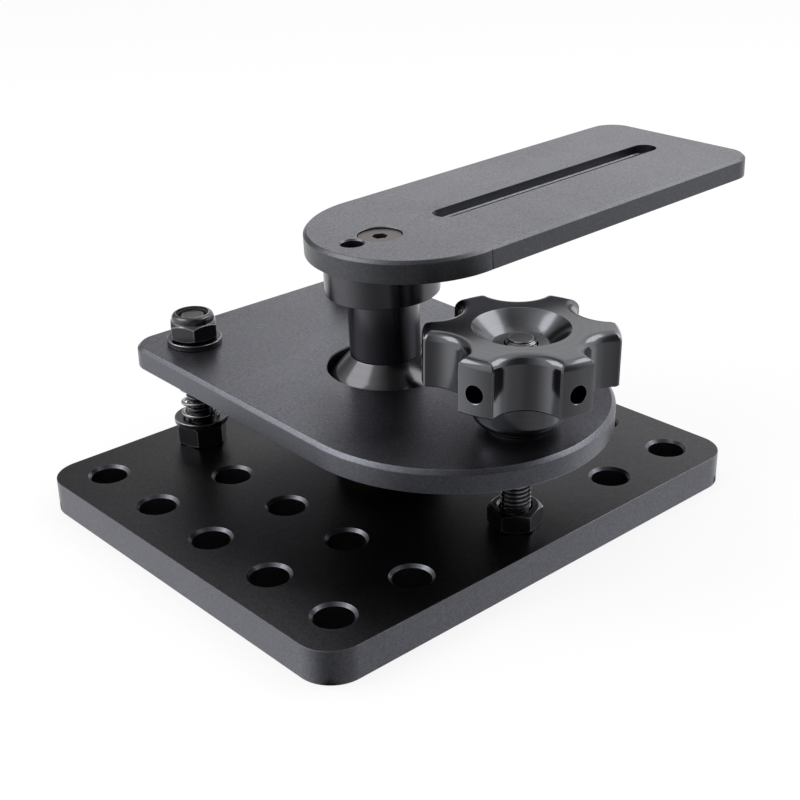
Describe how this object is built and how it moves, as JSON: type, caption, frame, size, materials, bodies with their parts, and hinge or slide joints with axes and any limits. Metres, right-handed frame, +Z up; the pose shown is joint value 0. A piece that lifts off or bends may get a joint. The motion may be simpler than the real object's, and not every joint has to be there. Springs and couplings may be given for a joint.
{
  "type": "ball leveling head",
  "caption": "Camera leveling head: a ball with a post and slotted camera bar, clamped between a drilled base plate and a sprung clamp plate by a star knob.",
  "frame": {"origin": "centre of the base plate's underside", "axes": "+X along the six-hole rows and towards the bar's long end, +Y towards the two sprung studs, +Z up"},
  "size_m": [0.2038, 0.1408, 0.0825],
  "materials": {
    "base_plate_black": "black anodised, fine bead-blasted satin",
    "clamp_plate_black": "black anodised, fine bead-blasted satin",
    "camera_bar_black": "black anodised, fine bead-blasted satin",
    "post_black": "black anodised, turned",
    "knob_black": "black anodised, turned and milled, semi-gloss",
    "ball_steel": "blackened, turned",
    "seat_ring_bronze": "turned bearing bronze",
    "screw_steel": "black oxide",
    "hardware_steel": "black zinc, brighter at the worn edges",
    "spring_steel": "oiled dark spring steel",
    "insert_nylon": "dark nylon"
  },
  "bodies": {
    "base": {"base_plate": "base_plate_black", "front_stud": "hardware_steel", "front_base_nut": "hardware_steel", "rear_stud_left": "hardware_steel", "rear_stud_right": "hardware_steel", "rear_base_nut_left": "hardware_steel", "rear_base_nut_right": "hardware_steel", "rear_spring_washer_left": "hardware_steel", "rear_spring_washer_right": "hardware_steel", "rear_spring_left": "spring_steel", "rear_spring_right": "spring_steel"},
    "ball_seat": {"ball_seat_ring": "seat_ring_bronze"},
    "head": {"ball": "ball_steel", "post": "post_black", "ball_screw": "screw_steel", "bar_screw": "screw_steel"},
    "bar": {"camera_bar": "camera_bar_black"},
    "rear_washers": {"rear_top_washer_left": "hardware_steel", "rear_top_washer_right": "hardware_steel"},
    "plate": {"clamp_plate": "clamp_plate_black", "knob_thrust_washer": "hardware_steel"},
    "knob": {"clamp_knob": "knob_black"},
    "rear_nut_left": {"rear_lock_nut_left": "hardware_steel", "rear_lock_nut_left_insert": "insert_nylon"},
    "rear_nut_right": {"rear_lock_nut_right": "hardware_steel", "rear_lock_nut_right_insert": "insert_nylon"}
  },
  "joints": [
    {"name": "ball_turn", "type": "hinge", "parent": "base", "child": "ball_seat", "pos_m": [0, 0, 0.02612], "axis": [0, 0, 1], "continuous": true},
    {"name": "ball_tilt", "type": "hinge", "parent": "ball_seat", "child": "head", "pos_m": [0, 0, 0.02612], "axis": [0, 1, 0], "range_deg": [-8.4, 11.6]},
    {"name": "bar_swivel", "type": "hinge", "parent": "head", "child": "bar", "pos_m": [0, 0, 0.02612], "axis": [-0.0279, 0, 0.9996], "continuous": true},
    {"name": "rear_height", "type": "hinge", "parent": "base", "child": "rear_washers", "pos_m": [0, -0.0508, 0.03893], "axis": [1, 0, 0], "range_deg": [0, 0.72], "deforming": ["rear_spring_left", "rear_spring_right"]},
    {"name": "plate_front_height", "type": "hinge", "parent": "rear_washers", "child": "plate", "pos_m": [0, 0.0508, 0.04132], "axis": [-1, 0, 0], "range_deg": [0, 0.72]},
    {"name": "knob_turn", "type": "hinge", "parent": "plate", "child": "knob", "pos_m": [0, -0.0508, 0.03893], "axis": [0, -0.0236, 0.9997], "range_deg": [0, 360]},
    {"name": "rear_nut_left_turn", "type": "hinge", "parent": "rear_washers", "child": "rear_nut_left", "pos_m": [-0.0305, 0.0508, 0.04132], "axis": [0, 0, 1], "range_deg": [0, 360]},
    {"name": "rear_nut_right_turn", "type": "hinge", "parent": "rear_washers", "child": "rear_nut_right", "pos_m": [0.0305, 0.0508, 0.04132], "axis": [0, 0, 1], "range_deg": [0, 361]}
  ],
  "couplings": [
    {"joint": "plate_front_height", "follows": "knob_turn", "ratio": 0.0019576},
    {"joint": "rear_height", "follows": "rear_nut_left_turn", "ratio": 0.0019576},
    {"joint": "rear_nut_right_turn", "follows": "rear_nut_left_turn", "ratio": 1}
  ]
}
